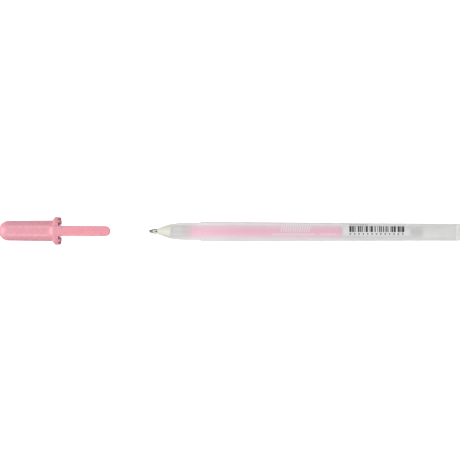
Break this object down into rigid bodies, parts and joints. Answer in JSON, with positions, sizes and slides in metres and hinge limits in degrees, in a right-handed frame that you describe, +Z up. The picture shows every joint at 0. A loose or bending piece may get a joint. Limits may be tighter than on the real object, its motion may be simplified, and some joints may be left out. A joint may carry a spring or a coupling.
{
  "type": "gel pen",
  "caption": "Capped gel pen with a frosted see-through barrel, a pull-out ink refill with a ball tip, and a domed cap with a clip, laid off in line with the barrel.",
  "frame": {"origin": "middle of the overall length on the surface the pen lies on: bottom centre of the bounding box", "axes": "+X along the pen's axis from the cap to the tail, +Z up with the clip on top, +Y across the pen"},
  "size_m": [0.2152, 0.013, 0.0135],
  "materials": {
    "writing_ball": "polished",
    "tip_socket": "turned",
    "nose_cone": "milky moulded",
    "check_ball": "polished",
    "ink_thread": "liquid",
    "ink_column": "liquid",
    "grease_follower": "clear grease",
    "reservoir_tube": "clear extruded",
    "barrel": "frosted clear",
    "tail_plug": "frosted clear",
    "cap_shell": "moulded",
    "cap_seal": "soft",
    "clip": "moulded"
  },
  "bodies": {
    "barrel": {"barrel": "barrel", "tail_plug": "tail_plug"},
    "refill": {"nose_cone": "nose_cone", "tip_socket": "tip_socket", "reservoir_tube": "reservoir_tube", "ink_thread": "ink_thread", "ink_column": "ink_column"},
    "writing_ball": {"writing_ball": "writing_ball"},
    "check_ball": {"check_ball": "check_ball"},
    "grease_follower": {"grease_follower": "grease_follower"},
    "cap": {"cap_shell": "cap_shell", "cap_seal": "cap_seal"},
    "clip": {"clip": "clip"}
  },
  "joints": [
    {"name": "refill_pull", "type": "slide", "parent": "barrel", "child": "refill", "axis": [-1, 0, 0], "range_m": [0, 0.112]},
    {"name": "cap_slide", "type": "slide", "parent": "refill", "child": "cap", "axis": [1, 0, 0], "range_m": [0, 0.0646]},
    {"name": "clip_flex", "type": "hinge", "parent": "cap", "child": "clip", "pos_m": [-0.0785, 0, 0.0135], "axis": [0, -1, 0], "range_deg": [0, 4], "stiffness_Nm_per_rad": 0.22},
    {"name": "ball_roll", "type": "hinge", "parent": "refill", "child": "writing_ball", "pos_m": [-0.0374, 0, 0.0065], "axis": [0, 1, 0], "continuous": true},
    {"name": "check_ball_travel", "type": "slide", "parent": "refill", "child": "check_ball", "axis": [1, 0, 0], "range_m": [0, 0.00115]},
    {"name": "follower_travel", "type": "slide", "parent": "refill", "child": "grease_follower", "axis": [-1, 0, 0], "range_m": [0, 0.068], "deforming": ["ink_column"]}
  ]
}
